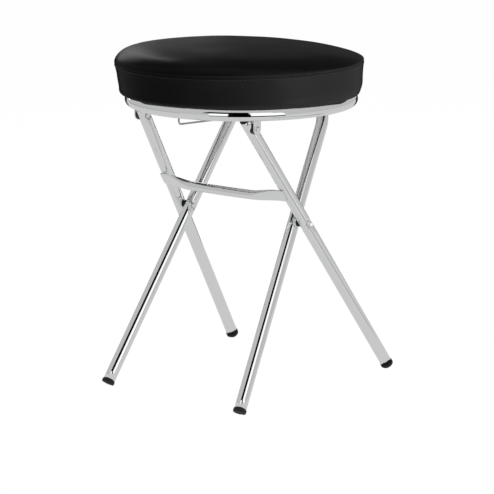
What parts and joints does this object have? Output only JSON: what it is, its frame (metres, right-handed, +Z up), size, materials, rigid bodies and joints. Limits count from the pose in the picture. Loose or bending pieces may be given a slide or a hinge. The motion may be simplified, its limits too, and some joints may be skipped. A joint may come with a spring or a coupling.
{
  "type": "folding stool",
  "caption": "Folding stool: round padded seat in black vinyl on a chromed ring, hinged over crossed chromed tube frames with a stretcher, riveted pivots and black rubber feet.",
  "frame": {"origin": "on the floor, under the middle of the seat", "axes": "+Z up; X along the fold axis; the outer frame's feet are at +Y and its seat hinge at -Y"},
  "size_m": [0.332, 0.332, 0.453],
  "materials": {
    "chrome": "bright chromed steel tube",
    "rivet_steel": "bright domed heads",
    "zinc_steel": "dull plated steel",
    "black_plastic": "matt black nylon",
    "rubber": "matt black rubber",
    "plywood": "plywood with a thin white wash",
    "foam": "open-cell foam",
    "vinyl": "smooth black vinyl with a soft sheen"
  },
  "bodies": {
    "outer_frame": {"outer_leg_left": "chrome", "outer_leg_right": "chrome", "leg_plug_left": "black_plastic", "leg_plug_right": "black_plastic", "hinge_spacer_left": "black_plastic", "hinge_spacer_right": "black_plastic", "hinge_rivet_left": "rivet_steel", "hinge_rivet_right": "rivet_steel", "pivot_rivet_left": "rivet_steel", "pivot_rivet_right": "rivet_steel", "stretcher": "chrome", "outer_foot_left": "rubber", "outer_foot_right": "rubber"},
    "inner_frame_body": {"inner_frame": "chrome", "pivot_washer_left": "black_plastic", "pivot_washer_right": "black_plastic", "inner_foot_left": "rubber", "inner_foot_right": "rubber"},
    "seat": {"seat_ring": "chrome", "hinge_lug_left": "chrome", "hinge_lug_right": "chrome", "ring_tab_1": "chrome", "ring_tab_2": "chrome", "ring_tab_3": "chrome", "ring_tab_4": "chrome", "seat_screw_1": "zinc_steel", "seat_screw_2": "zinc_steel", "seat_screw_3": "zinc_steel", "seat_screw_4": "zinc_steel", "keeper_wire": "zinc_steel", "seat_board": "plywood", "foam_pad": "foam", "seat_cover_band": "vinyl", "seat_cover_top": "vinyl"}
  },
  "joints": [
    {"name": "leg_fold", "type": "hinge", "parent": "outer_frame", "child": "inner_frame_body", "pos_m": [0, 0, 0.227], "axis": [1, 0, 0], "range_deg": [0, 62]},
    {"name": "seat_tilt", "type": "hinge", "parent": "outer_frame", "child": "seat", "pos_m": [0, -0.09583, 0.36438], "axis": [1, 0, 0], "range_deg": [0, 118]}
  ],
  "couplings": [
    {"joint": "seat_tilt", "follows": "leg_fold", "ratio": 1.9}
  ]
}
